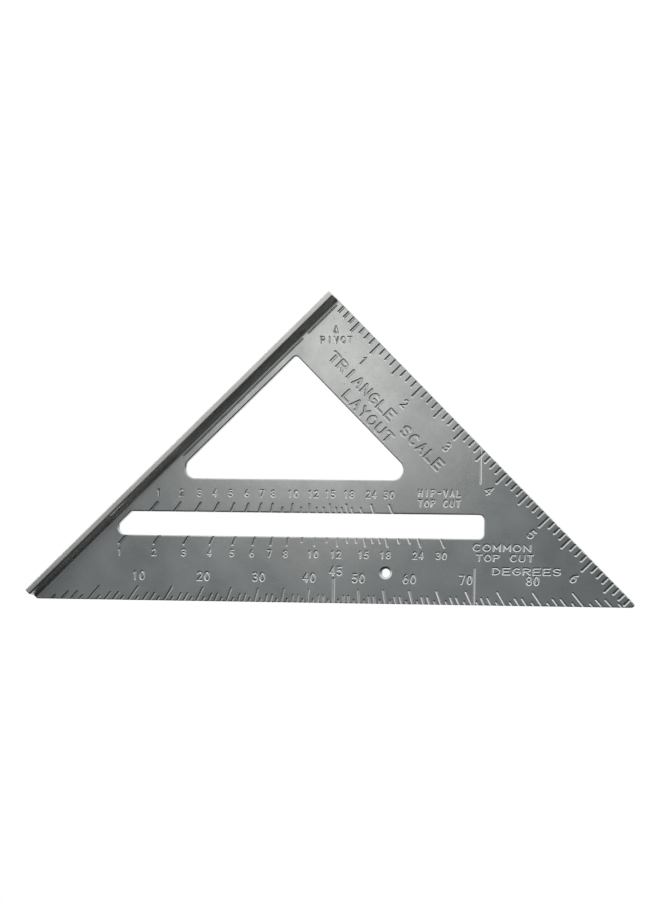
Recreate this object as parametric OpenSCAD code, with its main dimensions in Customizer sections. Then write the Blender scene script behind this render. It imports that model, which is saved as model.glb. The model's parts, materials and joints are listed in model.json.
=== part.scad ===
// Rafter square: a cast aluminium triangle with a fence along one leg, an inch
// rule along the other and a degree scale along the long edge.
//
// The square stands on its fence. +Z runs up the rule edge, +X runs along the
// fence from the pivot corner to the heel, and the face that reads is at -Y.
// The origin is the centre of the fence's outer face.
//
// It is one casting. Each node below is one region of it, and the regions meet
// face to face, so that each stretch of bar, arm or web is a solid of its own.
//
// Plan places are written as [u, s]: u is the distance in from the rule edge
// and s is the distance up from the fence's working face. Places on the long
// edge are written as a distance along it from the 45 degree mark, positive
// towards the toe, and a height above it.

/* [Plate] */
// Length of the inch rule
rule_len = 177.8; // [152.4:25.4:304.8]
// How far the sharp toe would reach past the rule before it is rounded
toe_point = 1.6; // [0.8:0.1:3]
// Thickness of the plate
plate_t = 3.2; // [2.4:0.1:5]
// Radius of the toe
toe_r = 1.2; // [0.5:0.1:3]

/* [Fence] */
// Thickness of the fence, with its root fillet
fence_t = 4.7; // [3.5:0.1:8]
// Width of the fence over both lips
fence_w = 19; // [12:0.5:30]
// Thickness of a lip at its free edge
lip_t = 2.8; // [2:0.1:4]
// Radius of the fillet at a lip's root
root_r = 1.4; // [0.8:0.1:1.6]
// Radius of the fence's two outer corners
pivot_r = 0.6; // [0.3:0.1:2]

/* [Window] */
// Width of the rail between the fence and the window
rail_w = 3.4; // [2.5:0.1:8]
// Width of the arm between the rule edge and the window
arm_w = 28.8; // [20:0.1:40]
// Height of the window's long side above the long edge
window_h = 51.6; // [44:0.1:60]
// Radius of the window's pivot corner
window_pivot_r = 1.5; // [1:0.1:5]
// Radius of the window's two sharp corners
window_end_r = 4.4; // [2:0.1:8]

/* [Slot] */
// Height of the slot's lower side above the long edge
slot_low_h = 27.5; // [24:0.1:32]
// Width of the slot
slot_w = 10; // [6:0.1:12]
// Gap between the fence and the slot
slot_gap = 1.7; // [1:0.1:6]
// Distance of the slot's toe end from the 45 degree mark
slot_end = 62.6; // [40:0.1:70]
// Radius of the slot's two corners at the toe
slot_r = 2.2; // [0.5:0.1:3]
// Radii of the slot's two corners at the heel, the upper one first
slot_heel_r = [0.8, 3.2];

/* [Hanging hole] */
// Diameter of the hole
hole_d = 3.6; // [3:0.1:6]
// Diameter of its countersink
hole_sink_d = 5.4; // [5:0.1:9]
// Distance of the hole from the 45 degree mark
hole_along = 21.8; // [10:0.1:40]
// Height of the hole above the long edge
hole_h = 12.9; // [8:0.1:18]

/* [Graduations] */
// Width of a groove at the surface
groove_w = 1; // [0.5:0.1:1.4]
// Depth of a groove
groove_d = 0.45; // [0.2:0.05:1]
// Lengths of the rule's eighth, half and whole inch marks
rule_marks = [4, 6, 6.6];
// Lengths of the degree scale's one, two, five and forty-five degree marks
degree_marks = [1.9, 3.5, 6, 10.8];
// Lengths of the rafter scales' short and long marks
rafter_marks = [2.7, 4.2];
// How far in from the corner the degree scale's centre sits, each way
pivot_in = 1.5; // [0:0.1:3]
// Common scale: place of its middle, its reach and its run
common_scale = [-2.8, 103, 11.1];
// Hip and valley scale: place of its middle, its reach and its run
hip_scale = [-9.3, 81.8, 12.5];
// Distances of the two diamond lines from the 45 degree mark, upper and lower
diamond_along = [60.9, 59];
// Length of a diamond line
diamond_len = 15.5; // [10:0.5:20]
// Width of a diamond line at the surface
diamond_w = 0.6; // [0.4:0.1:1]

/* [Hidden] */
$fn = 48;

EIGHTH = 25.4 / 8;
DIAG = sqrt(2);

// The sharp triangle's legs, measured from the fence's working face.
leg = rule_len + toe_point;

// How far a lip stands out from the plate.
lip_h = (fence_w - plate_t) / 2;

// Where u + s is constant: the window's long side and the slot's two sides.
slot_high_h = slot_low_h + slot_w;
window_line = leg - window_h * DIAG;
slot_high_line = leg - slot_high_h * DIAG;
slot_low_line = leg - slot_low_h * DIAG;

// The degree scale's centre.
pivot = [pivot_in, pivot_in];

// Rises that the rafter scales mark with a long mark, and the short ones.
long_rises = [1, 2, 3, 4, 5, 6, 7, 8, 10, 12, 15, 18, 24, 30];
common_short_rises = [9, 11, 13, 14, 16, 17, 20, 22];
hip_short_rises = [9, 11, 13, 14, 16, 17, 19, 21];

// Cuts between regions, each clear of the fillets. Those across the bars are
// distances along the long edge.
pivot_cut = 6.5 * EIGHTH;
arm_cut = 20.5 * EIGHTH;
rail_pivot_cut = arm_w + window_pivot_r + 0.7;
rail_heel_cut = window_line - rail_w - 12.5;
heel_cut = -80;
bar_heel_cut = -58;
bar_toe_cut = 22;
toe_cut = 58;

// Plan point at a distance along the long edge and a height above it.
function on_edge(along, height) =
    let (middle = leg / 2 - height / DIAG, half = along / DIAG)
    [middle - half, middle + half];

// Plan direction of a ray at an angle up from the fence.
function ray(angle) = [cos(angle), sin(angle)];

// Plan point where a ray from the degree scale's centre meets the long edge.
function ray_end(angle) =
    pivot + ray(angle) * (leg - 2 * pivot_in) / (cos(angle) + sin(angle));

// How far a rafter mark leans from square to the long edge, as a tangent.
function lean(scale, rise) = (rise - scale[2]) / (rise + scale[2]);

// Unit vector from one plan point towards another.
function towards(a, b) = (b - a) / norm(b - a);

// For corner i of an outline: unit vectors along its two sides, away from the
// corner, and half the angle between them.
function corner(points, i) =
    let (
        n = len(points),
        back = towards(points[i], points[(i + n - 1) % n]),
        on = towards(points[i], points[(i + 1) % n])
    )
    [back, on, acos(back * on) / 2];

// The corner itself, or the two points where its fillet meets the sides.
function corner_points(points, radii, i) =
    let (c = corner(points, i), reach = radii[i] / tan(c[2]))
    radii[i] == 0
        ? [points[i]]
        : [points[i] + c[0] * reach, points[i] + c[1] * reach];

// A convex outline as a prism t thick, with a true arc at each corner that has
// a radius.
module rounded_prism(points, radii, t) {
    last = len(points) - 1;
    linear_extrude(t, center = true)
        polygon([for (i = [0:last]) each corner_points(points, radii, i)]);
    for (i = [0:last])
        if (radii[i] > 0) {
            c = corner(points, i);
            middle = (c[0] + c[1]) / norm(c[0] + c[1]);
            translate(points[i] + middle * radii[i] / sin(c[2]))
                cylinder(h = t, r = radii[i], center = true);
        }
}

// Stands a plan shape up on the fence: plan x to +X, plan y to +Z.
module stand_up() {
    translate([-leg / 2, 0, fence_t]) rotate([90, 0, 0]) children();
}

// A V groove that starts at a plan point and runs along a plan direction. It
// starts a little early, so that it opens at the edge.
module groove(start, direction, length, width = groove_w) {
    translate([start[0], start[1], plate_t / 2])
        rotate([0, 0, atan2(direction[1], direction[0]) - 90])
        translate([0, -1, 0])
        rotate([-90, 0, 0])
        linear_extrude(length + 1)
        polygon([[-width, -groove_d], [width, -groove_d], [0, groove_d]]);
}

// The inch rule's marks, from one eighth to another.
module rule_grooves(first, last) {
    for (eighth = [first:last]) {
        kind = eighth % 8 == 0 ? 2 : eighth % 4 == 0 ? 1 : 0;
        groove([0, eighth * EIGHTH], [1, 0], rule_marks[kind]);
    }
}

// How high a degree mark reaches above the long edge.
function degree_mark(angle) =
    angle == 45 ? degree_marks[3]
    : angle % 5 == 0 ? degree_marks[2]
    : angle % 5 == 1 || angle % 5 == 4 ? degree_marks[0]
    : degree_marks[1];

// The degree scale's marks, each on a ray from the scale's centre.
module degree_grooves(first, last) {
    for (angle = [first:last])
        groove(ray_end(angle), -ray(angle), degree_mark(angle) / cos(angle - 45));
}

// One rafter scale's marks of one length: up from a side of the slot or, with
// side at -1, down from it.
module rafter_grooves(scale, side_h, side, marked, length) {
    for (rise = marked) {
        slope = lean(scale, rise);
        groove(
            on_edge(scale[0] + scale[1] * slope, side_h),
            -side * ray(45 + atan(slope)), length * sqrt(1 + slope * slope)
        );
    }
}

// The common scale's marks for some of the long rises.
module common_grooves(marked) {
    rafter_grooves(common_scale, slot_low_h, -1, marked, rafter_marks[1]);
}

// The hip and valley scale's marks for some of the long rises.
module hip_grooves(marked) {
    rafter_grooves(hip_scale, slot_high_h, 1, marked, rafter_marks[1]);
}

// The window, cut right through.
module window() {
    rounded_prism(
        [
            [arm_w, rail_w],
            [window_line - rail_w, rail_w],
            [arm_w, window_line - arm_w]
        ],
        [window_pivot_r, window_end_r, window_end_r], plate_t + 2
    );
}

// The slot between the two rafter scales, cut right through.
module slot() {
    rounded_prism(
        [
            [slot_high_line - slot_gap, slot_gap],
            [slot_low_line - slot_gap, slot_gap],
            on_edge(slot_end, slot_low_h),
            on_edge(slot_end, slot_high_h)
        ],
        [slot_heel_r[0], slot_heel_r[1], slot_r, slot_r], plate_t + 2
    );
}

// The hanging hole, with its countersink on the reading face.
module hole() {
    sink = (hole_sink_d - hole_d) / 4;
    translate(on_edge(hole_along, hole_h)) {
        cylinder(h = plate_t + 2, d = hole_d, center = true);
        translate([0, 0, plate_t / 2 - sink])
            cylinder(h = 2 * sink, d1 = hole_d, d2 = 2 * hole_sink_d - hole_d);
    }
}

// One region of the plate: what is inside a plan outline, less the children.
module region(outline) {
    stand_up() difference() {
        intersection() {
            rounded_prism([[0, 0], [leg, 0], [0, leg]], [0, 0, toe_r], plate_t);
            linear_extrude(plate_t + 2, center = true) polygon(outline);
        }
        children();
    }
}

// The fence's plan outline as a block t thick, with its outer corners rounded.
module fence_block(t) {
    rounded_prism(
        [[0, -fence_t], [leg, -fence_t], [leg, 0], [0, 0]],
        [pivot_r, pivot_r, 0, 0], t
    );
}

// A lip of the fence with its root fillet, on the reading side.
module lip() {
    intersection() {
        translate([0, 0, plate_t / 2]) rotate([90, 0, 90])
            linear_extrude(leg)
            polygon([
                [-fence_t, 0],
                for (turn = [0:15:90]) root_r * [-sin(turn), 1 - cos(turn)],
                [lip_t - fence_t, lip_h],
                [-fence_t, lip_h]
            ]);
        fence_block(fence_w + 2);
    }
}

// The flat core of the fence, between its two lips.
module fence_core() {
    color("gray") stand_up() fence_block(plate_t);
}

module fence_front_lip() {
    color("silver") stand_up() lip();
}

module fence_back_lip() {
    color("silver") stand_up() mirror([0, 0, 1]) lip();
}

// The corner at the pivot, with the rule's first marks.
module pivot_corner() {
    color("silver")
        region([
            [0, 0], [rail_pivot_cut, 0], [rail_pivot_cut, pivot_cut], [0, pivot_cut]
        ]) {
            window();
            rule_grooves(1, 6);
        }
}

// The straight arm between the rule edge and the window.
module rule_arm() {
    color("silver")
        region([
            [0, pivot_cut], [arm_w, pivot_cut], [arm_w, arm_cut], [0, arm_cut]
        ])
        rule_grooves(7, 20);
}

// The rail between the fence and the window.
module window_rail() {
    color("gray")
        region([
            [rail_pivot_cut, 0], [rail_heel_cut, 0],
            [rail_heel_cut, rail_w], [rail_pivot_cut, rail_w]
        ]);
}

// The web around the window's heel corner.
module heel_shoulder() {
    color("gray")
        region([
            [rail_heel_cut, 0], [-heel_cut * DIAG, 0],
            on_edge(heel_cut, slot_high_h), on_edge(bar_heel_cut, slot_high_h),
            on_edge(bar_heel_cut, window_h), [rail_heel_cut, rail_w * 2]
        ]) {
            window();
            hip_grooves([1, 2, 3]);
        }
}

// The bar between the window and the slot, with the hip and valley scale.
module middle_bar() {
    color("gray")
        region([
            on_edge(bar_heel_cut, slot_high_h), on_edge(bar_toe_cut, slot_high_h),
            on_edge(bar_toe_cut, window_h), on_edge(bar_heel_cut, window_h)
        ]) {
            hip_grooves([for (rise = long_rises) if (rise > 2 && rise < 30) rise]);
            rafter_grooves(
                hip_scale, slot_high_h, 1, hip_short_rises, rafter_marks[0]
            );
        }
}

// The web around the window's toe corner, with part of the rule.
module toe_shoulder() {
    color("silver")
        region([
            on_edge(bar_toe_cut, slot_high_h), on_edge(toe_cut, slot_high_h),
            [0, toe_cut * DIAG], [0, arm_cut], [arm_w, arm_cut],
            on_edge(bar_toe_cut, window_h)
        ]) {
            window();
            rule_grooves(21, 27);
            hip_grooves([30]);
        }
}

// The heel, which closes the slot beside the fence.
module heel_block() {
    color("gray")
        region([[-heel_cut * DIAG, 0], [leg, 0], on_edge(heel_cut, 0)]) {
            slot();
            degree_grooves(1, 12);
            common_grooves([1]);
        }
}

// The bar below the slot, with most of the degree scale and the hanging hole.
module degree_bar() {
    color("gray")
        region([
            on_edge(heel_cut, 0), on_edge(toe_cut, 0),
            on_edge(toe_cut, slot_low_h), on_edge(heel_cut, slot_low_h)
        ]) {
            degree_grooves(12, 70);
            common_grooves([for (rise = long_rises) if (rise > 1) rise]);
            rafter_grooves(
                common_scale, slot_low_h, -1, common_short_rises, rafter_marks[0]
            );
            hole();
        }
}

// The toe, where the degree scale meets the rule's last marks.
module toe_block() {
    color("gray")
        region([on_edge(toe_cut, 0), [0, leg], [0, toe_cut * DIAG]]) {
            slot();
            degree_grooves(70, 89);
            rule_grooves(26, 55);
            groove([0, diamond_along[0] * DIAG], ray(45), diamond_len, diamond_w);
            groove(on_edge(diamond_along[1], 0), -ray(45), diamond_len, diamond_w);
        }
}

fence_core();
fence_front_lip();
fence_back_lip();
pivot_corner();
rule_arm();
window_rail();
heel_shoulder();
middle_bar();
toe_shoulder();
heel_block();
degree_bar();
toe_block();
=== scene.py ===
"""Rafter square: the visible casting, the studio and the camera.

The square is one aluminium casting. It is modelled whole, its scales and words are cut
into the reading face, and it is then sawn into the regions that the CAD model names, so
that each visible piece stands for one CAD node and no seam shows between them.

Everything is modelled in millimetres in plan space: x is the distance in from the rule
edge, z is the distance up from the fence's working face, and y runs through the plate,
with the reading face towards -y. The last step carries each piece into the frame.
"""

import json
import logging
import math
from collections.abc import Callable, Iterable, Sequence
from dataclasses import dataclass, field
from enum import Enum

import bpy
from mathutils import Matrix, Vector

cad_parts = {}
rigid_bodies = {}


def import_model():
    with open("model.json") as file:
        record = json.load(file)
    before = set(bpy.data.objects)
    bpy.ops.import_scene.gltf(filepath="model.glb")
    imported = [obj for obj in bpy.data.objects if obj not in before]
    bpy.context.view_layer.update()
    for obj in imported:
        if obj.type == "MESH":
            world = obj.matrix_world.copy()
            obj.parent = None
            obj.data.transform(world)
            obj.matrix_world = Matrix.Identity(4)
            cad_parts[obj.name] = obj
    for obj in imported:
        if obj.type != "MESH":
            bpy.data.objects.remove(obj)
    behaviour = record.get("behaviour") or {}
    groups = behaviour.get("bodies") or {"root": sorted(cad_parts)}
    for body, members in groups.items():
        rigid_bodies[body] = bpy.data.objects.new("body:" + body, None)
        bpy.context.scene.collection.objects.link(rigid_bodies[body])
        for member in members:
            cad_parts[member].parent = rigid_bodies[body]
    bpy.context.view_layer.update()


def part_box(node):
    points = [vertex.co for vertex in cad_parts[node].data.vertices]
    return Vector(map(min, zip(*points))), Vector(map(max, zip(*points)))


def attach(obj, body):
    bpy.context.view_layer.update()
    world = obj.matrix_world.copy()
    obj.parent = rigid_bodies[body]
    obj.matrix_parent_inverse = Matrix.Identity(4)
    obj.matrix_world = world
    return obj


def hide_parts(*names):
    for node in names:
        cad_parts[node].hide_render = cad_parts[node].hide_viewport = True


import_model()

LOG = logging.getLogger("rafter_square")

MM = 0.001
EIGHTH = 25.4 / 8
DIAG = math.sqrt(2)
ROUND_STEPS = 64
SMOOTH_ANGLE = math.radians(24)
EDGE_ANGLE = math.radians(50)
NEAR = 0.01
ALONG = 0.99

Point = tuple[float, float]
Path = list[Point]


class Element(Enum):
    """What is selected in edit mode."""

    VERTICES = (True, False, False)
    EDGES = (False, True, False)
    POLYGONS = (False, False, True)


class Cut(Enum):
    """How a Boolean joins its operands."""

    REMOVE = "DIFFERENCE"
    KEEP = "INTERSECT"
    JOIN = "UNION"


class Heading(Enum):
    """How lettering stands on the reading face, as its plan right and up."""

    ALONG_RULE = ((0.0, 1.0), (-1.0, 0.0))
    ALONG_LONG_EDGE = ((-1 / DIAG, 1 / DIAG), (-1 / DIAG, -1 / DIAG))


# ---------------------------------------------------------------- workbench


class Bench:
    """Blender's modelling tools, each used on one object at a time."""

    @staticmethod
    def pick(obj: bpy.types.Object) -> None:
        """Makes obj the only selected object, and the active one."""
        bpy.ops.object.select_all(action="DESELECT")
        obj.select_set(True)
        bpy.context.view_layer.objects.active = obj

    @staticmethod
    def named(name: str) -> bpy.types.Object:
        """Names the object that was just added, and returns it."""
        bpy.context.object.name = name
        return bpy.context.object

    @staticmethod
    def select(
        obj: bpy.types.Object, element: Element, wanted: Callable[[object], bool]
    ) -> None:
        """Enters edit mode with only the elements selected that pass a test.

        Args:
            obj: The object to edit.
            element: Whether vertices, edges or faces are tested.
            wanted: The test, which gets one mesh element.
        """
        Bench.pick(obj)
        bpy.context.tool_settings.mesh_select_mode = element.value
        bpy.ops.object.mode_set(mode="EDIT")
        bpy.ops.mesh.select_all(action="DESELECT")
        bpy.ops.object.mode_set(mode="OBJECT")
        for item in getattr(obj.data, element.name.lower()):
            item.select = wanted(item)
        bpy.ops.object.mode_set(mode="EDIT")

    @staticmethod
    def edit_all(obj: bpy.types.Object) -> None:
        """Enters edit mode with everything selected."""
        Bench.pick(obj)
        bpy.ops.object.mode_set(mode="EDIT")
        bpy.ops.mesh.select_all(action="SELECT")

    @staticmethod
    def done() -> None:
        """Leaves edit mode."""
        bpy.ops.object.mode_set(mode="OBJECT")

    @staticmethod
    def boolean(obj: bpy.types.Object, how: Cut, tools: Sequence[bpy.types.Object]) -> None:
        """Cuts obj with tools, or joins them to it, and throws the tools away.

        Args:
            obj: The object that is changed.
            how: What the tools do to it.
            tools: Closed meshes.
        """
        tray = bpy.data.collections.new("tray")
        bpy.context.scene.collection.children.link(tray)
        for tool in tools:
            for shelf in list(tool.users_collection):
                shelf.objects.unlink(tool)
            tray.objects.link(tool)
        Bench.pick(obj)
        bpy.ops.object.modifier_add(type="BOOLEAN")
        modifier = obj.modifiers[-1]
        modifier.operation = how.value
        modifier.solver = "MANIFOLD"
        modifier.operand_type = "COLLECTION"
        modifier.collection = tray
        bpy.ops.object.modifier_apply(modifier=modifier.name)
        meshes = [tool.data for tool in tools]
        bpy.data.batch_remove([*tools, *meshes, tray])

    @staticmethod
    def tidy_flats(obj: bpy.types.Object) -> None:
        """Merges the flat faces that a hull or a cut has left in pieces."""
        Bench.edit_all(obj)
        bpy.ops.mesh.remove_doubles(threshold=0.0005)
        bpy.ops.mesh.dissolve_limited(angle_limit=math.radians(0.2))
        bpy.ops.mesh.normals_make_consistent(inside=False)
        Bench.done()

    @staticmethod
    def prism(name: str, outline: Sequence[Point], low: float, high: float) -> bpy.types.Object:
        """A prism that stands on a plan outline.

        Args:
            name: The new object's name.
            outline: Its plan corners, in order.
            low: Its lowest y.
            high: Its highest y.

        Returns:
            The closed prism.
        """
        bpy.ops.mesh.primitive_circle_add(vertices=len(outline), fill_type="NGON")
        obj = Bench.named(name)
        for vertex, (across, up) in zip(obj.data.vertices, outline):
            vertex.co = (across, low, up)
        Bench.edit_all(obj)
        bpy.ops.mesh.extrude_region_move(TRANSFORM_OT_translate={"value": (0, high - low, 0)})
        bpy.ops.mesh.select_all(action="SELECT")
        bpy.ops.mesh.normals_make_consistent(inside=False)
        Bench.done()
        return obj

    @staticmethod
    def rounded_prism(
        name: str, outline: Sequence[Point], radii: Sequence[float], half: float
    ) -> bpy.types.Object:
        """A convex prism whose corners are arcs: the hull of a cylinder at each corner.

        Args:
            name: The new object's name.
            outline: Its plan corners before rounding, in order.
            radii: Each corner's radius.
            half: How far it reaches each way along y.

        Returns:
            The closed prism.
        """
        for i, radius in enumerate(radii):
            across, up = fillet_centre(outline, radii, i)
            bpy.ops.mesh.primitive_cylinder_add(
                vertices=ROUND_STEPS, radius=radius, depth=2 * half,
                location=(across, 0, up), rotation=(math.pi / 2, 0, 0),
            )
            if i == 0:
                obj = Bench.named(name)
                bpy.ops.object.transform_apply()
                bpy.ops.object.mode_set(mode="EDIT")
        bpy.ops.mesh.select_all(action="SELECT")
        bpy.ops.mesh.convex_hull()
        Bench.done()
        Bench.tidy_flats(obj)
        return obj


def fillet_centre(outline: Sequence[Point], radii: Sequence[float], i: int) -> Point:
    """Centre of the arc that rounds corner i of an outline."""
    here = Vector(outline[i])
    back = (Vector(outline[i - 1]) - here).normalized()
    on = (Vector(outline[(i + 1) % len(outline)]) - here).normalized()
    middle = (back + on).normalized()
    return tuple(here + middle * (radii[i] / math.sin(back.angle(on) / 2)))


# ---------------------------------------------------------------- sizes


@dataclass(frozen=True)
class Plan:
    """The casting's sizes in millimetres. The first eight come from the CAD model's boxes."""

    left: float
    leg: float
    fence_t: float
    half_plate: float
    half_fence: float
    arm_w: float
    rail_w: float
    pivot_cut: float
    lip_t: float = 2.8
    root_r: float = 1.4
    corner_r: float = 0.5
    rim_r: float = 0.9
    toe_r: float = 1.2
    edge_r: float = 0.5
    window_h: float = 51.6
    window_radii: tuple[float, float, float] = (1.5, 4.4, 4.4)
    slot_low: float = 27.5
    slot_high: float = 37.5
    slot_gap: float = 1.7
    slot_end: float = 62.6
    slot_radii: tuple[float, float, float, float] = (0.8, 3.2, 2.2, 2.2)
    hole_along: float = 21.8
    hole_h: float = 12.9
    hole_r: float = 1.8
    sink_r: float = 2.7

    @classmethod
    def from_frame(cls) -> "Plan":
        """The plan whose outer sizes are those of the CAD model's nodes."""
        core, lip, corner = (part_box(n) for n in ("fence_core", "fence_front_lip", "pivot_corner"))
        return cls(
            left=core[0].x / MM,
            leg=(core[1].x - core[0].x) / MM,
            fence_t=corner[0].z / MM,
            half_plate=-corner[0].y / MM,
            half_fence=-lip[0].y / MM,
            arm_w=(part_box("rule_arm")[1].x - core[0].x) / MM,
            rail_w=(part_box("window_rail")[1].z - corner[0].z) / MM,
            pivot_cut=(corner[1].z - corner[0].z) / MM,
        )

    def on_edge(self, along: float, height: float) -> Point:
        """Plan point at a distance along the long edge and a height above it."""
        middle = self.leg / 2 - height / DIAG
        return middle - along / DIAG, middle + along / DIAG

    def line(self, height: float) -> float:
        """The sum of x and z all along a line at a height above the long edge."""
        return self.leg - height * DIAG

    def to_frame(self) -> Matrix:
        """Carries plan space, in millimetres, into the frame, in metres."""
        return Matrix.Scale(MM, 4) @ Matrix.Translation((self.left, 0, self.fence_t))


# ---------------------------------------------------------------- lettering


def arc(centre: Point, reach: Point, start: float, stop: float, steps: int = 7) -> Path:
    """Points along an elliptical arc.

    Args:
        centre: Its centre.
        reach: Its half width and half height.
        start: Where it starts, in degrees from +x towards +y.
        stop: Where it stops.
        steps: How many straight stretches it has.

    Returns:
        The points in order.
    """
    turns = [math.radians(start + (stop - start) * i / steps) for i in range(steps + 1)]
    return [
        (centre[0] + reach[0] * math.cos(turn), centre[1] + reach[1] * math.sin(turn))
        for turn in turns
    ]


def glyph_strokes() -> dict[str, list[Path]]:
    """Each character's strokes in a cell 4 wide and 6 high."""
    stem, bowl = [(0, 0), (0, 6)], arc((2.2, 4.5), (1.8, 1.5), 90, -90)
    foot, mid, top = [(0, 0), (4, 0)], [(0, 3), (3.2, 3)], [(0, 6), (4, 6)]
    letters = {
        "A": [[(0, 0), (2, 6), (4, 0)], [(0.7, 2), (3.3, 2)]],
        "C": [arc((2.2, 3), (2.2, 3), 50, 310, 10)],
        "D": [stem, [(0, 6), (1.6, 6)] + arc((1.6, 3), (2.4, 3), 90, -90) + [(0, 0)]],
        "E": [stem, foot, mid, top],
        "G": [arc((2.2, 3), (2.2, 3), 50, 330, 10) + [(4, 2.8), (2.4, 2.8)]],
        "H": [stem, [(4, 0), (4, 6)], [(0, 3), (4, 3)]],
        "I": [[(2, 0), (2, 6)]],
        "L": [stem, foot],
        "M": [[(0, 0), (0, 6), (2, 2), (4, 6), (4, 0)]],
        "N": [[(0, 0), (0, 6), (4, 0), (4, 6)]],
        "O": [arc((2, 3), (2.1, 3), 0, 360, 14)],
        "P": [stem, [(0, 6), (2.2, 6)] + bowl + [(0, 3)]],
        "R": [stem, [(0, 6), (2.2, 6)] + bowl + [(0, 3)], [(2, 3), (4, 0)]],
        "S": [arc((2, 4.5), (1.9, 1.5), 30, 270) + arc((2, 1.5), (1.9, 1.5), 90, -150)],
        "T": [top, [(2, 0), (2, 6)]],
        "U": [[(0, 6), (0, 2)] + arc((2, 2), (2, 2), 180, 360) + [(4, 6)]],
        "V": [[(0, 6), (2, 0), (4, 6)]],
        "Y": [[(0, 6), (2, 3), (4, 6)], [(2, 3), (2, 0)]],
        "-": [[(0.6, 3), (3.4, 3)]],
        "^": [[(0, 0), (2, 6), (4, 0), (0, 0)]],
    }
    six = [arc((2, 1.8), (1.9, 1.8), 0, 360, 12), arc((3.4, 1.8), (3.3, 4.2), 180, 105)]
    digits = {
        "0": [arc((2, 3), (1.9, 3), 0, 360, 14)],
        "1": [[(1, 4.8), (2.2, 6), (2.2, 0)]],
        "2": [arc((2, 4.2), (1.8, 1.8), 160, -35) + [(0, 0), (4, 0)]],
        "3": [arc((2, 4.5), (1.7, 1.5), 150, -90) + arc((2, 1.6), (1.9, 1.6), 90, -150)],
        "4": [[(3, 0), (3, 6), (0, 1.8), (4, 1.8)]],
        "5": [[(3.7, 6), (0.6, 6), (0.4, 3.2)] + arc((1.9, 1.9), (2, 1.9), 125, -150)],
        "6": six,
        "7": [[(0, 6), (4, 6), (1.5, 0)]],
        "8": [arc((2, 4.5), (1.6, 1.5), 0, 360, 12), arc((2, 1.5), (1.9, 1.5), 0, 360, 12)],
        "9": [[(4 - x, 6 - y) for x, y in path] for path in six],
    }
    return letters | digits


GLYPHS = glyph_strokes()
CELL = (4.0, 6.0)


@dataclass(frozen=True)
class Chisel:
    """A cutter for one stroke: a groove with drafted sides and round ends."""

    width: float
    floor: float
    depth: float
    sides: int = 12
    proud: float = 0.3

    def forge(self) -> bpy.types.Mesh:
        """Models the cutter for a stroke of no length, with +z out of the surface."""
        spread = (self.width - self.floor) / 2 / self.depth
        bpy.ops.mesh.primitive_cone_add(
            vertices=self.sides, depth=self.depth + self.proud,
            radius1=self.floor / 2, radius2=self.width / 2 + self.proud * spread,
            location=(0, 0, (self.proud - self.depth) / 2),
            rotation=(0, 0, math.pi / self.sides),
        )
        cutter = Bench.named("chisel")
        bpy.ops.object.transform_apply()
        mesh = cutter.data
        bpy.data.objects.remove(cutter)
        return mesh

    @staticmethod
    def stroke(forged: bpy.types.Mesh, start: Point, stop: Point) -> bpy.types.Object:
        """A copy of a forged cutter, drawn out from one point to another."""
        run = Vector(stop) - Vector(start)
        mesh = forged.copy()
        for vertex in mesh.vertices:
            if vertex.co.x > 0:
                vertex.co.x += run.length
        turn = Matrix.Rotation(math.atan2(run.y, run.x), 4, "Z")
        mesh.transform(Matrix.Translation((*start, 0)) @ turn)
        cutter = bpy.data.objects.new("stroke", mesh)
        bpy.context.scene.collection.objects.link(cutter)
        return cutter


@dataclass(frozen=True)
class Style:
    """One size of lettering: its height, the pitch of its characters and its chisel."""

    height: float
    pitch: float
    chisel: Chisel
    fill: float = 0.88

    def glyph(self, character: str) -> bpy.types.Mesh:
        """Models one character's cutter, centred, as one closed mesh."""
        wide, high = self.pitch * self.fill - self.chisel.width, self.height - self.chisel.width
        forged = self.chisel.forge()
        strokes = []
        for path in GLYPHS[character]:
            placed = [
                ((x / CELL[0] - 0.5) * wide, (y / CELL[1] - 0.5) * high) for x, y in path
            ]
            strokes += [Chisel.stroke(forged, *ends) for ends in zip(placed, placed[1:])]
        glyph, *others = strokes
        if others:
            Bench.boolean(glyph, Cut.JOIN, others)
        mesh = glyph.data
        bpy.data.objects.remove(glyph)
        bpy.data.meshes.remove(forged)
        return mesh


FINE = Chisel(width=0.9, floor=0.1, depth=0.24)
BROAD = Chisel(width=1.45, floor=0.6, depth=0.3)
TITLE = Style(height=5.5, pitch=4.85, chisel=BROAD, fill=0.93)
RULE_NUMERAL = Style(height=4.6, pitch=3.5, chisel=Chisel(width=1.05, floor=0.15, depth=0.28))
DEGREE_NUMERAL = Style(height=4.4, pitch=3.1, chisel=Chisel(width=0.95, floor=0.1, depth=0.26))
SCALE_NUMERAL = Style(height=3.6, pitch=2.6, chisel=FINE)
LABELS = {
    pitch: Style(height=3.5, pitch=pitch, chisel=FINE, fill=0.86)
    for pitch in (2.65, 2.9, 3.55, 4.2)
}


# ---------------------------------------------------------------- graduations


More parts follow.
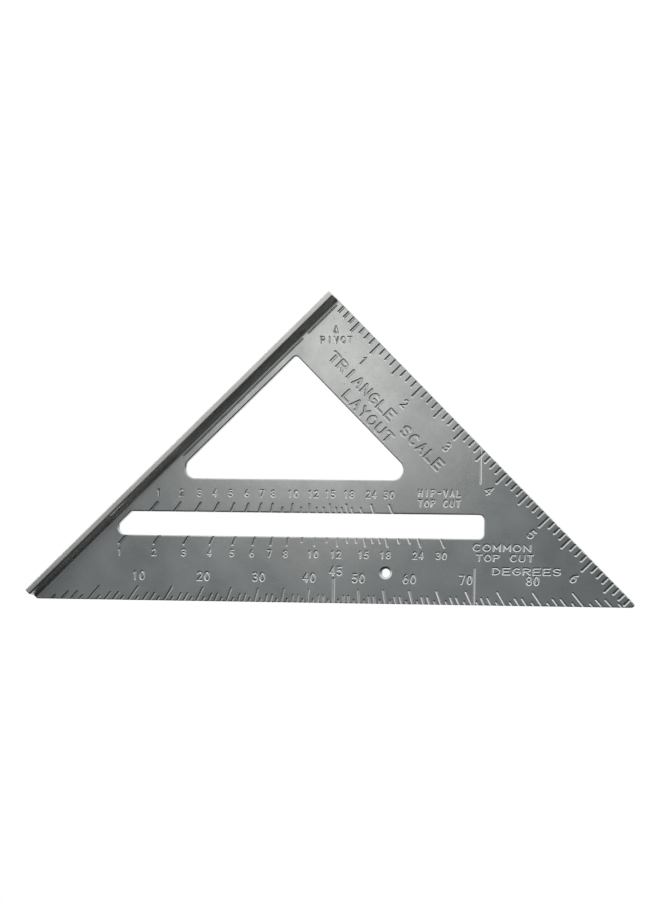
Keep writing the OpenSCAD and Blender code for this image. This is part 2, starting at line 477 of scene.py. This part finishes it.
@dataclass
class Graduations:
    """The scales, numerals and words that are cut into the reading face."""

    plan: Plan
    tick: Chisel = Chisel(width=1.4, floor=0.35, depth=0.33)
    degree_tick: Chisel = Chisel(width=1.15, floor=0.15, depth=0.33)
    scale_tick: Chisel = Chisel(width=1.25, floor=0.2, depth=0.38)
    hairline: Chisel = Chisel(width=0.9, floor=0.1, depth=0.24)
    relief: Chisel = Chisel(width=0.85, floor=0.15, depth=0.22)
    rule_lengths: tuple[float, float, float] = (4.0, 6.0, 6.6)
    degree_lengths: tuple[float, float, float, float] = (1.9, 3.5, 6.0, 10.8)
    scale_lengths: tuple[float, float] = (2.7, 4.2)
    degree_h: float = 10.5
    common_h: float = 20.3
    hip_h: float = 45.5
    pivot_in: float = 1.5
    common: tuple[float, float, float] = (-2.8, 103.0, 11.1)
    hip: tuple[float, float, float] = (-9.3, 81.8, 12.5)
    rises: tuple[int, ...] = (1, 2, 3, 4, 5, 6, 7, 8, 10, 12, 15, 18, 24, 30)
    common_short: tuple[int, ...] = (9, 11, 13, 14, 16, 17, 20, 22)
    hip_short: tuple[int, ...] = (9, 11, 13, 14, 16, 17, 19, 21)
    cutters: list[bpy.types.Object] = field(default_factory=list)
    forged: dict[Chisel, bpy.types.Mesh] = field(default_factory=dict)
    glyphs: dict[tuple[Style, str], bpy.types.Mesh] = field(default_factory=dict)

    def place(self, mesh: bpy.types.Mesh, at: Point, right: Point, up: Point) -> None:
        """Adds a copy of a cutter, drawn flat, to the reading face.

        Args:
            mesh: The cutter, with +z out of the surface.
            at: The plan point that its origin goes to.
            right: The plan direction of its x.
            up: The plan direction of its y.
        """
        turn = Matrix(((right[0], up[0], 0), (0, 0, -1), (right[1], up[1], 0))).to_4x4()
        copy = mesh.copy()
        copy.transform(Matrix.Translation((at[0], -self.plan.half_plate, at[1])) @ turn)
        cutter = bpy.data.objects.new("cutter", copy)
        bpy.context.scene.collection.objects.link(cutter)
        self.cutters.append(cutter)

    def groove(self, chisel: Chisel, start: Point, toward: Point, length: float) -> None:
        """Adds a straight groove that runs from a plan point along a plan direction."""
        if chisel not in self.forged:
            self.forged[chisel] = chisel.forge()
        line = Vector(toward).normalized()
        stroke = Chisel.stroke(self.forged[chisel], (0, 0), (length - chisel.width / 2, 0))
        self.place(stroke.data, start, tuple(line), (-line.y, line.x))
        bpy.data.objects.remove(stroke)

    def edge_groove(self, chisel: Chisel, start: Point, toward: Point, length: float) -> None:
        """Adds a groove that opens at an edge: it starts a little outside it."""
        line = Vector(toward).normalized()
        outside = Vector(start) - line
        self.groove(chisel, tuple(outside), toward, length + 1)

    def word(self, text: str, centre: Point, style: Style, heading: Heading) -> None:
        """Adds a line of characters, centred on a plan point."""
        right, up = heading.value
        for i, character in enumerate(text):
            if character == " ":
                continue
            if (style, character) not in self.glyphs:
                self.glyphs[style, character] = style.glyph(character)
            shift = (i - (len(text) - 1) / 2) * style.pitch
            at = (centre[0] + right[0] * shift, centre[1] + right[1] * shift)
            self.place(self.glyphs[style, character], at, right, up)

    def inch_rule(self) -> None:
        """The eighth, half and whole inch marks, and the inch numerals."""
        for eighth in range(1, 56):
            kind = 2 if eighth % 8 == 0 else 1 if eighth % 4 == 0 else 0
            self.edge_groove(self.tick, (0, eighth * EIGHTH), (1, 0), self.rule_lengths[kind])
        for inch in range(1, 7):
            self.word(str(inch), (10.4, inch * 25.4), RULE_NUMERAL, Heading.ALONG_RULE)

    def degree_scale(self) -> None:
        """The degree marks, which point at the pivot, and their numerals."""
        reach = self.plan.leg - 2 * self.pivot_in
        for angle in range(1, 90):
            ray = Vector((math.cos(math.radians(angle)), math.sin(math.radians(angle))))
            end = Vector((self.pivot_in,) * 2) + ray * reach / (ray.x + ray.y)
            kind = 3 if angle == 45 else 2 if angle % 5 == 0 else 0 if angle % 5 in (1, 4) else 1
            length = self.degree_lengths[kind] / math.cos(math.radians(angle - 45))
            chisel = self.tick if angle == 45 else self.degree_tick
            self.edge_groove(chisel, tuple(end), tuple(-ray), length)
        pivot_h = self.plan.leg / DIAG - self.pivot_in * DIAG
        for angle in (10, 20, 30, 40, 50, 60, 70, 80):
            along = 1.04 * (pivot_h - self.degree_h) * math.tan(math.radians(angle - 45))
            self.word(
                str(angle), self.plan.on_edge(along, self.degree_h), DEGREE_NUMERAL,
                Heading.ALONG_LONG_EDGE,
            )
        self.word("45", self.plan.on_edge(0.8, 13.4), DEGREE_NUMERAL, Heading.ALONG_LONG_EDGE)

    @staticmethod
    def lean(rise: float, run: float) -> float:
        """The tangent of how far a slope of rise over run leans from 45 degrees."""
        return (rise - run) / (rise + run)

    def rafter_scale(
        self, scale: tuple[float, float, float], short: Iterable[int], side: int
    ) -> None:
        """One rafter scale: its marks along a side of the slot, and their numerals.

        Args:
            scale: The place of its middle, its reach and its run.
            short: The rises with a short mark and no numeral.
            side: 1 for the scale above the slot, -1 for the one below it.
        """
        edge = self.plan.slot_high if side > 0 else self.plan.slot_low
        for marked, length in ((short, self.scale_lengths[0]), (self.rises, self.scale_lengths[1])):
            for rise in marked:
                lean = self.lean(rise, scale[2])
                turn = math.radians(45) + math.atan(lean)
                toward = (-side * math.cos(turn), -side * math.sin(turn))
                start = self.plan.on_edge(scale[0] + scale[1] * lean, edge)
                self.edge_groove(self.scale_tick, start, toward, length * math.hypot(1, lean))

    def rafter_numerals(self) -> None:
        """The numerals of both rafter scales, each near its mark's inner end."""
        nudges = {3: -1.0, 4: -2.0, 5: -2.0, 6: -1.0, 12: 1.5, 18: 1.0}
        for rise in self.rises:
            lean = self.lean(rise, self.common[2])
            along = self.common[0] - 0.7 + (self.common[1] + 2.5) * lean
            self.word(
                str(rise), self.plan.on_edge(along, self.common_h), SCALE_NUMERAL,
                Heading.ALONG_LONG_EDGE,
            )
            lean = self.lean(rise, self.hip[2])
            along = self.hip[0] + (self.hip[1] - 4.2) * lean + nudges.get(rise, 0.0)
            self.word(
                str(rise), self.plan.on_edge(along, self.hip_h), SCALE_NUMERAL,
                Heading.ALONG_LONG_EDGE,
            )

    def words(self) -> None:
        """The scales' names and the two lines of the heading."""
        for text, along, height, pitch in (
            ("PIVOT", -1.0, 110.4, 2.9),
            ("HIP-VAL", 43.8, 46.4, 2.65),
            ("TOP CUT", 43.8, 42.1, 2.65),
            ("COMMON", 70.2, 24.0, 4.2),
            ("TOP CUT", 71.5, 19.8, 3.55),
            ("DEGREES", 80.6, 14.3, 4.2),
        ):
            self.word(
                text, self.plan.on_edge(along, height), LABELS[pitch], Heading.ALONG_LONG_EDGE
            )
        self.word("^", self.plan.on_edge(-1.2, 114.9), LABELS[2.9], Heading.ALONG_LONG_EDGE)
        self.word("TRIANGLE SCALE", (18.1, 47.4), TITLE, Heading.ALONG_RULE)
        self.word("LAYOUT", (25.1, 43.8), TITLE, Heading.ALONG_RULE)

    def guide_lines(self) -> None:
        """The two long hairlines at the toe, and the relief beside the fence's root."""
        self.edge_groove(self.hairline, (0, 60.9 * DIAG), (1, 1), 15.8)
        self.edge_groove(self.hairline, self.plan.on_edge(59.0, 0), (-1, -1), 15.6)
        self.groove(self.relief, (2.2, 0.6), (1, 0), 17)
        self.groove(self.relief, (22.2, 0.6), (1, 0), 71)

    def build(self) -> list[bpy.types.Object]:
        """Makes every cutter.

        Returns:
            The closed cutters, each in its place on the reading face.
        """
        self.inch_rule()
        self.degree_scale()
        self.rafter_scale(self.common, self.common_short, -1)
        self.rafter_scale(self.hip, self.hip_short, 1)
        self.rafter_numerals()
        self.words()
        self.guide_lines()
        for mesh in [*self.forged.values(), *self.glyphs.values()]:
            bpy.data.meshes.remove(mesh)
        return self.cutters


# ---------------------------------------------------------------- casting


@dataclass
class Casting:
    """The whole square: plate, fence, openings and rounded edges."""

    plan: Plan
    grid: float = 7.3
    toe_ease: float = 1.2

    def blank(self) -> bpy.types.Object:
        """Models the T-shaped fence, draws the plate up out of it and cuts the long edge."""
        plan = self.plan
        slab_top = plan.lip_t - plan.fence_t
        bpy.ops.mesh.primitive_cube_add(
            size=1, location=(plan.leg / 2, 0, (slab_top - plan.fence_t) / 2),
            scale=(plan.leg, 2 * plan.half_fence, plan.lip_t),
        )
        blank = Bench.named("casting")
        bpy.ops.object.transform_apply()
        for side in (-1, 1):
            Bench.edit_all(blank)
            bpy.ops.mesh.bisect(plane_co=(0, side * plan.half_plate, 0), plane_no=(0, 1, 0))
            Bench.done()
        near_plate = plan.half_plate + 0.1
        Bench.select(
            blank, Element.VERTICES,
            lambda v: v.co.z > slab_top - 0.1 and abs(v.co.y) < near_plate,
        )
        bpy.ops.transform.translate(value=(0, 0, -plan.root_r - slab_top))
        Bench.done()
        Bench.select(
            blank, Element.POLYGONS,
            lambda f: f.normal.z > 0.9 and abs(f.center.y) < 0.1,
        )
        bpy.ops.mesh.extrude_region_move(
            TRANSFORM_OT_translate={"value": (0, 0, plan.leg + plan.root_r + 5)}
        )
        bpy.ops.mesh.select_all(action="SELECT")
        bpy.ops.mesh.bisect(
            plane_co=(plan.leg, 0, 0), plane_no=(1, 0, 1), use_fill=True, clear_outer=True
        )
        Bench.done()
        return blank

    def edges_at(self, blank: bpy.types.Object, test: Callable[[Vector, Vector], bool]) -> None:
        """Enters edit mode with the edges selected whose middle and direction pass a test."""
        vertices = blank.data.vertices

        def wanted(edge: bpy.types.MeshEdge) -> bool:
            """Whether the test holds for this edge."""
            start, stop = (vertices[i].co for i in edge.vertices)
            return test((start + stop) / 2, (stop - start).normalized())

        Bench.select(blank, Element.EDGES, wanted)

    def soften(self, blank: bpy.types.Object) -> None:
        """Rounds the fence's roots and ends, and the toe."""
        plan = self.plan
        self.edges_at(
            blank,
            lambda middle, run: abs(run.x) > ALONG
            and abs(middle.z + plan.root_r) < NEAR
            and abs(abs(middle.y) - plan.half_plate) < NEAR,
        )
        bpy.ops.mesh.bevel(offset=plan.root_r, segments=6, affect="EDGES", clamp_overlap=False)
        Bench.done()
        self.edges_at(
            blank, lambda middle, run: abs(run.y) > ALONG and middle.z > plan.leg - 1
        )
        reach = self.toe_ease * plan.toe_r / math.tan(math.radians(22.5))
        bpy.ops.mesh.bevel(offset=reach, segments=8, affect="EDGES", clamp_overlap=False)
        Bench.done()
        lip_top = plan.lip_t - plan.fence_t
        self.edges_at(
            blank,
            lambda middle, run: abs(run.x) > ALONG
            and abs(middle.z - lip_top) < NEAR
            and abs(middle.y) > plan.half_fence - NEAR,
        )
        bpy.ops.mesh.bevel(offset=plan.rim_r, segments=6, affect="EDGES", clamp_overlap=False)
        Bench.done()
        self.edges_at(
            blank,
            lambda middle, run: middle.z < NEAR - plan.fence_t
            and (abs(run.y) > ALONG or abs(middle.y) > plan.half_fence - NEAR),
        )
        bpy.ops.mesh.bevel(offset=plan.corner_r, segments=5, affect="EDGES", clamp_overlap=False)
        Bench.done()

    def divide(self, blank: bpy.types.Object) -> None:
        """Divides the plate's faces into small squares, so that no face has many holes."""
        count = math.ceil(self.plan.leg / self.grid)
        Bench.edit_all(blank)
        for i in range(1, count):
            for across, up in ((1, 0), (0, 1)):
                bpy.ops.mesh.select_all(action="SELECT")
                bpy.ops.mesh.bisect(
                    plane_co=(across * i * self.grid, 0, up * i * self.grid),
                    plane_no=(across, 0, up),
                )
        Bench.done()

    def openings(self) -> list[bpy.types.Object]:
        """Models the cutters of the window and the slot."""
        plan = self.plan
        half = plan.half_plate + 2
        window_line = plan.line(plan.window_h)
        window = Bench.rounded_prism(
            "window",
            [
                (plan.arm_w, plan.rail_w),
                (window_line - plan.rail_w, plan.rail_w),
                (plan.arm_w, window_line - plan.arm_w),
            ],
            plan.window_radii, half,
        )
        slot = Bench.rounded_prism(
            "slot",
            [
                (plan.line(plan.slot_high) - plan.slot_gap, plan.slot_gap),
                (plan.line(plan.slot_low) - plan.slot_gap, plan.slot_gap),
                plan.on_edge(plan.slot_end, plan.slot_low),
                plan.on_edge(plan.slot_end, plan.slot_high),
            ],
            plan.slot_radii, half,
        )
        return [window, slot]

    def hanging_hole(self) -> list[bpy.types.Object]:
        """Models the cutters of the hanging hole and its countersink."""
        plan = self.plan
        deep = (plan.sink_r - plan.hole_r) / 2
        across, up = plan.on_edge(plan.hole_along, plan.hole_h)
        bpy.ops.mesh.primitive_cylinder_add(
            vertices=ROUND_STEPS, radius=plan.hole_r, depth=4 * plan.half_plate,
            location=(across, 0, up), rotation=(math.pi / 2, 0, 0),
        )
        hole = Bench.named("hole")
        bpy.ops.object.transform_apply()
        bpy.ops.mesh.primitive_cone_add(
            vertices=ROUND_STEPS, radius1=plan.hole_r, radius2=2 * plan.sink_r - plan.hole_r,
            depth=2 * deep, location=(across, -plan.half_plate, up),
            rotation=(math.pi / 2, 0, 0),
        )
        sink = Bench.named("countersink")
        bpy.ops.object.transform_apply()
        return [hole, sink]

    def build(self) -> bpy.types.Object:
        """Models the casting, cuts its openings, rounds its edges and cuts its scales.

        Returns:
            The whole casting, closed, in plan space.
        """
        blank = self.blank()
        self.soften(blank)
        Bench.boolean(blank, Cut.REMOVE, self.openings())
        Bench.tidy_flats(blank)
        Bench.pick(blank)
        bpy.ops.object.modifier_add(type="BEVEL")
        bevel = blank.modifiers[-1]
        bevel.width = self.plan.edge_r
        bevel.segments = 5
        bevel.limit_method = "ANGLE"
        bevel.angle_limit = EDGE_ANGLE
        bevel.use_clamp_overlap = False
        bpy.ops.object.modifier_apply(modifier=bevel.name)
        self.divide(blank)
        Bench.boolean(blank, Cut.REMOVE, self.hanging_hole())
        cutters = Graduations(self.plan).build()
        LOG.info("%d marks and characters to cut", len(cutters))
        Bench.boolean(blank, Cut.REMOVE, cutters)
        return blank


@dataclass
class Regions:
    """The named regions that the casting is sawn into, one for each CAD node."""

    plan: Plan
    margin: float = 6.0
    rail_inset: float = 0.7
    rail_back: float = 12.5
    past_bar: float = 3.0
    heel_cut: float = -80.0
    bar_heel_cut: float = -58.0
    bar_toe_cut: float = 22.0
    toe_cut: float = 58.0
    arm_cut: float = 20.5 * EIGHTH

    def outlines(self) -> dict[str, list[Point]]:
        """Each plate region's plan outline. It reaches past the plate, and meets the others."""
        plan, far = self.plan, self.margin
        edge = plan.on_edge
        slot_middle = (plan.slot_low + plan.slot_high) / 2
        rail_start = plan.arm_w + plan.window_radii[0] + self.rail_inset
        rail_stop = plan.line(plan.window_h) - plan.rail_w - self.rail_back
        rail_top, arm_side = plan.rail_w * 2, plan.arm_w + 2
        heel_foot = -self.heel_cut * DIAG
        in_window = plan.window_h + self.past_bar
        toe_on_rule = self.toe_cut * DIAG
        return {
            "pivot_corner": [
                (-far, 0), (rail_start, 0), (rail_start, plan.pivot_cut), (-far, plan.pivot_cut)
            ],
            "rule_arm": [
                (-far, plan.pivot_cut), (arm_side, plan.pivot_cut),
                (arm_side, self.arm_cut), (-far, self.arm_cut),
            ],
            "window_rail": [
                (rail_start, 0), (rail_stop, 0), (rail_stop, rail_top), (rail_start, rail_top)
            ],
            "heel_shoulder": [
                (rail_stop, 0), (heel_foot, 0), edge(self.heel_cut, slot_middle),
                edge(self.bar_heel_cut, slot_middle), edge(self.bar_heel_cut, plan.window_h),
                (rail_stop, rail_top),
            ],
            "middle_bar": [
                edge(self.bar_heel_cut, slot_middle), edge(self.bar_toe_cut, slot_middle),
                edge(self.bar_toe_cut, in_window), edge(self.bar_heel_cut, in_window),
            ],
            "toe_shoulder": [
                edge(self.bar_toe_cut, slot_middle), edge(self.toe_cut, slot_middle),
                (-far, toe_on_rule - far), (-far, self.arm_cut), (arm_side, self.arm_cut),
                edge(self.bar_toe_cut, in_window),
            ],
            "heel_block": [(heel_foot, 0), (plan.leg + far, 0), edge(self.heel_cut, -far)],
            "degree_bar": [
                edge(self.heel_cut, -far), edge(self.toe_cut, -far),
                edge(self.toe_cut, slot_middle), edge(self.heel_cut, slot_middle),
            ],
            "toe_block": [
                edge(self.toe_cut, -far), (-far, plan.leg + 3 * far), (-far, toe_on_rule - far)
            ],
        }

    def saws(self) -> dict[str, bpy.types.Object]:
        """Models the block that each region lies in.

        Returns:
            Each CAD node's name and its block.
        """
        plan, far = self.plan, self.margin
        across = plan.half_plate + far
        saws = {
            name: Bench.prism(name + "_saw", outline, -across, across)
            for name, outline in self.outlines().items()
        }
        below = [(-far, 0), (-far, -plan.fence_t - far), (plan.leg + far, -plan.fence_t - far)]
        below.append((plan.leg + far, 0))
        outside = plan.half_fence + far
        for name, low, high in (
            ("fence_core", -plan.half_plate, plan.half_plate),
            ("fence_front_lip", -outside, -plan.half_plate),
            ("fence_back_lip", plan.half_plate, outside),
        ):
            saws[name] = Bench.prism(name + "_saw", below, low, high)
        return saws

    def split(self, casting: bpy.types.Object) -> dict[str, bpy.types.Object]:
        """Saws the casting into its regions and carries them into the frame.

        Args:
            casting: The whole casting, in plan space. It is used up.

        Returns:
            Each CAD node's name and the piece that stands for it.
        """
        pieces = {}
        for node, saw in self.saws().items():
            piece = bpy.data.objects.new("cast_" + node, casting.data.copy())
            bpy.context.scene.collection.objects.link(piece)
            Bench.boolean(piece, Cut.KEEP, [saw])
            piece.data.transform(self.plan.to_frame())
            self.shade(piece)
            pieces[node] = piece
        bpy.data.objects.remove(casting)
        return pieces

    @staticmethod
    def shade(piece: bpy.types.Object) -> None:
        """Shades a piece smooth over its rounded edges and flat on its large faces."""
        Bench.pick(piece)
        bpy.ops.object.shade_smooth_by_angle(angle=SMOOTH_ANGLE)
        bpy.ops.object.modifier_add(type="WEIGHTED_NORMAL")
        piece.modifiers[-1].keep_sharp = True
        bpy.ops.object.modifier_apply(modifier=piece.modifiers[-1].name)


# ---------------------------------------------------------------- finishes


class Graph:
    """A shader's node tree, with one method that adds any node."""

    def __init__(self, tree: bpy.types.NodeTree) -> None:
        """Starts from an empty tree."""
        self.tree = tree
        tree.nodes.clear()

    def node(self, kind: str, settings: dict | None = None, **values: object) -> bpy.types.Node:
        """Adds a node.

        Args:
            kind: The node's type name, without its common ShaderNode prefix.
            settings: The node's own properties, which are set first.
            values: Its inputs by name, with _ for a space: constants, or sockets to link.

        Returns:
            The new node.
        """
        made = self.tree.nodes.new("ShaderNode" + kind)
        for name, value in (settings or {}).items():
            setattr(made, name, value)
        for name, value in values.items():
            self.feed(made.inputs[name.replace("_", " ")], value)
        return made

    def feed(self, socket: bpy.types.NodeSocket, value: object) -> None:
        """Sets a socket to a constant, or links a value to it."""
        if isinstance(value, Number):
            value = value.socket
        if isinstance(value, bpy.types.NodeSocket):
            self.tree.links.new(value, socket)
        else:
            socket.default_value = value

    def show(self, kind: str, shader: bpy.types.Node) -> None:
        """Adds an output node and links a shader to its surface."""
        self.feed(self.node(kind).inputs["Surface"], shader.outputs[0])

    def math(self, operation: str, *operands: object) -> "Number":
        """Adds a Math node and returns its result."""
        made = self.node("Math", {"operation": operation})
        for socket, operand in zip(made.inputs, operands):
            self.feed(socket, operand)
        return Number(self, made.outputs[0])

    def mix(self, factor: object, first: object, second: object) -> bpy.types.NodeSocket:
        """Mixes two colours."""
        made = self.node("Mix", {"data_type": "RGBA"})
        for i, value in ((0, factor), (6, first), (7, second)):
            self.feed(made.inputs[i], value)
        return made.outputs[2]


class Number:
    """A number that varies over the surface. Arithmetic on it adds Math nodes."""

    def __init__(self, graph: Graph, socket: bpy.types.NodeSocket) -> None:
        """Wraps an output socket."""
        self.graph, self.socket = graph, socket

    def __add__(self, other: object) -> "Number":
        """self + other."""
        return self.graph.math("ADD", self, other)

    def __sub__(self, other: object) -> "Number":
        """self - other."""
        return self.graph.math("SUBTRACT", self, other)

    def __rsub__(self, other: object) -> "Number":
        """other - self."""
        return self.graph.math("SUBTRACT", other, self)

    def __mul__(self, other: object) -> "Number":
        """self * other."""
        return self.graph.math("MULTIPLY", self, other)

    __radd__ = __add__
    __rmul__ = __mul__

    def ramp(self, start: float, stop: float) -> "Number":
        """0 up to start, 1 from stop on, and smooth between them."""
        made = self.graph.node("MapRange", {"interpolation_type": "SMOOTHSTEP"})
        for i, value in enumerate((self, start, stop, 0.0, 1.0)):
            self.graph.feed(made.inputs[i], value)
        return Number(self.graph, made.outputs[0])


@dataclass(frozen=True)
class CastAluminium:
    """Tumbled cast aluminium: mottled, finely grained, rougher below the reading face."""

    name: str
    light: tuple[float, float, float]
    dark: tuple[float, float, float]
    roughness: float
    pit: tuple[float, float, float] = (0.03, 0.032, 0.034)
    grain: float = 0.00002
    front: float = -0.0016

    def texture(self, graph: Graph, kind: str, scale: float, **values: object) -> Number:
        """A noise on Object coordinates. kind names the node and scale is per metre."""
        coordinates = graph.node("TexCoord").outputs["Object"]
        made = graph.node(kind, None, Vector=coordinates, Scale=scale, **values)
        return Number(graph, made.outputs[0])

    def make(self) -> bpy.types.Material:
        """Builds the material."""
        material = bpy.data.materials.new(self.name)
        material.use_nodes = True
        graph = Graph(material.node_tree)
        place = graph.node("SeparateXYZ", None, Vector=graph.node("TexCoord").outputs["Object"])
        depth = Number(graph, place.outputs["Y"])
        below = depth.ramp(self.front + 0.00006, self.front + 0.0003)
        mottle = self.texture(graph, "TexNoise", 26.0, Detail=4.0, Roughness=0.55)
        speck = self.texture(graph, "TexNoise", 900.0, Detail=3.0, Roughness=0.6)
        pits = self.texture(graph, "TexVoronoi", 420.0, Randomness=1.0)
        pitted = 1 - pits.ramp(0.04, 0.16)
        tone = (mottle * 0.75 + speck * 0.25).ramp(0.32, 0.68)
        colour = graph.mix(tone, (*self.dark, 1), (*self.light, 1))
        # Darker in the pits: there the colour is mixed a tenth of the way towards near black.
        pit_darkened = graph.mix(pitted * 0.1, colour, (*self.pit, 1))
        smudge = self.texture(graph, "TexNoise", 60.0, Detail=5.0, Roughness=0.6)
        rough = self.roughness + (smudge - 0.5) * 0.22 + below * 0.06 + pitted * 0.1
        ripple = graph.node(
            "Bump", None, Strength=0.22, Distance=0.00025,
            Height=self.texture(graph, "TexNoise", 95.0, Detail=2.0, Roughness=0.5),
        )
        grain = graph.node(
            "Bump", None, Strength=0.5, Distance=self.grain,
            Height=self.texture(graph, "TexNoise", 2600.0, Detail=3.0, Roughness=0.65)
            - pitted * 0.8,
            Normal=ripple.outputs["Normal"],
        )
        shader = graph.node(
            "BsdfPrincipled", None, Base_Color=pit_darkened, Metallic=1.0, Roughness=rough,
            Normal=grain.outputs["Normal"],
        )
        graph.show("OutputMaterial", shader)
        return material


PLATE_FINISH = CastAluminium(
    "cast_plate", light=(0.60, 0.61, 0.61), dark=(0.50, 0.51, 0.51), roughness=0.30
)
FENCE_FINISH = CastAluminium(
    "cast_fence", light=(0.80, 0.79, 0.76), dark=(0.68, 0.67, 0.65), roughness=0.42
)


# ---------------------------------------------------------------- studio


@dataclass(frozen=True)
class Softbox:
    """A square area light."""

    name: str
    at: tuple[float, float, float]
    aim: tuple[float, float, float]
    size: float
    power: float
    colour: tuple[float, float, float] = (1.0, 1.0, 1.0)

    def build(self) -> None:
        """Hangs the light."""
        light = bpy.data.lights.new(self.name, "AREA")
        light.energy, light.size, light.color = self.power, self.size, self.colour
        lamp = bpy.data.objects.new(self.name, light)
        lamp.location = self.at
        beam = Vector(self.aim) - Vector(self.at)
        lamp.rotation_euler = beam.to_track_quat("-Z", "Y").to_euler()
        lamp.visible_camera = False
        bpy.context.scene.collection.objects.link(lamp)


@dataclass(frozen=True)
class Studio:
    """The camera, the pale floor and the soft light."""

    aim: tuple[float, float, float] = (-0.0433, 0.0, 0.047)
    azimuth: float = -3.17
    elevation: float = 9.48
    roll: float = 136.1
    distance: float = 1.3267
    lens: float = 126.6
    sensor: float = 36.0
    bright_side: tuple[float, float, float] = (-0.57, -0.10, -0.82)
    dark: tuple[float, float, float, float] = (0.01, 0.011, 0.012, 1.0)
    middle: tuple[float, float, float, float] = (0.18, 0.195, 0.2, 1.0)
    bright: tuple[float, float, float, float] = (1.5, 1.52, 1.5, 1.0)
    lights: tuple[Softbox, ...] = (
        Softbox(
            "pivot_glow", (-0.066, -0.345, -0.058), (-0.06, 0, 0.03), 0.16, 0.085,
            (1.0, 0.99, 0.95),
        ),
        Softbox("back_fill", (0.3, 1.2, 0.3), (0, 0, 0.06), 0.9, 3.0),
    )

    def camera(self) -> None:
        """Places the camera, turned about its own axis."""
        turn, tilt, roll = (math.radians(x) for x in (self.azimuth, self.elevation, self.roll))
        back = Vector(
            (math.sin(turn) * math.cos(tilt), -math.cos(turn) * math.cos(tilt), math.sin(tilt))
        )
        level = (-back).cross(Vector((0, 0, 1))).normalized()
        upright = level.cross(-back)
        right = level * math.cos(roll) + upright * math.sin(roll)
        up = upright * math.cos(roll) - level * math.sin(roll)
        data = bpy.data.cameras.new("camera")
        data.lens, data.sensor_width = self.lens, self.sensor
        data.clip_start, data.clip_end = 0.05, 60.0
        camera = bpy.data.objects.new("camera", data)
        axes = Matrix((right, up, back)).transposed().to_4x4()
        camera.matrix_world = Matrix.Translation(Vector(self.aim) + back * self.distance) @ axes
        bpy.context.scene.collection.objects.link(camera)
        bpy.context.scene.camera = camera

    def floor(self) -> None:
        """Lays the pale floor, which only the camera sees, so that it throws no colour."""
        bpy.ops.mesh.primitive_plane_add(size=40)
        floor = Bench.named("floor")
        material = bpy.data.materials.new("pale_floor")
        material.use_nodes = True
        graph = Graph(material.node_tree)
        glow = graph.node("Emission", None, Color=(1, 1, 1, 1), Strength=1.0)
        graph.show("OutputMaterial", glow)
        floor.data.materials.append(material)
        for ray in ("diffuse", "glossy", "transmission", "shadow"):
            setattr(floor, "visible_" + ray, False)

    def world(self) -> None:
        """Surrounds the set with white for the camera, and with soft light that is bright
        to one side and dark to the other for the metal, so that its grooves show."""
        world = bpy.data.worlds.new("studio")
        bpy.context.scene.world = world
        world.use_nodes = True
        graph = Graph(world.node_tree)
        seen = graph.node("LightPath").outputs["Is Camera Ray"]
        toward = graph.node(
            "VectorMath", {"operation": "DOT_PRODUCT"},
            Vector=graph.node("TexCoord").outputs["Generated"],
        )
        toward.inputs[1].default_value = self.bright_side
        lean = Number(graph, toward.outputs["Value"])
        shade = graph.mix(lean.ramp(-0.7, 0.1), self.dark, self.middle)
        sight = graph.node("SeparateXYZ", None, Vector=graph.node("TexCoord").outputs["Generated"])
        through = Number(graph, sight.outputs["Y"])
        aside = through.ramp(-0.9, -0.6) * lean.ramp(-0.3, 0.35)
        lit = graph.mix(aside, shade, self.bright)
        front, back = 1 - through.ramp(-0.35, -0.1), through.ramp(0.15, 0.5)
        soft = graph.mix(front + back, self.dark, lit)
        shown = graph.node("Background", None, Color=graph.mix(seen, soft, (1, 1, 1, 1)))
        graph.show("OutputWorld", shown)

    def build(self) -> None:
        """Sets up the whole studio."""
        bpy.context.scene.view_settings.view_transform = "Standard"
        self.camera()
        self.floor()
        self.world()
        for light in self.lights:
            light.build()


# ---------------------------------------------------------------- the square


@dataclass
class RafterSquare:
    """The finished square: every region dressed and fixed to the frame."""

    plan: Plan

    def build(self) -> dict[str, bpy.types.Object]:
        """Models the casting and saws it into its regions."""
        return Regions(self.plan).split(Casting(self.plan).build())

    def dress(self, pieces: dict[str, bpy.types.Object]) -> None:
        """Gives each piece its finish and its place in the frame.

        Args:
            pieces: Each CAD node's name and the piece that stands for it.
        """
        plate, fence = PLATE_FINISH.make(), FENCE_FINISH.make()
        for node, piece in pieces.items():
            piece.data.materials.clear()
            piece.data.materials.append(fence if node.startswith("fence") else plate)
            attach(piece, "root")
            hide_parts(node)
            LOG.info("%s: %d faces", piece.name, len(piece.data.polygons))


def main() -> None:
    logging.basicConfig(level=logging.INFO, format="%(message)s")
    Studio().build()
    square = RafterSquare(Plan.from_frame())
    square.dress(square.build())


if __name__ == "__main__":
    main()
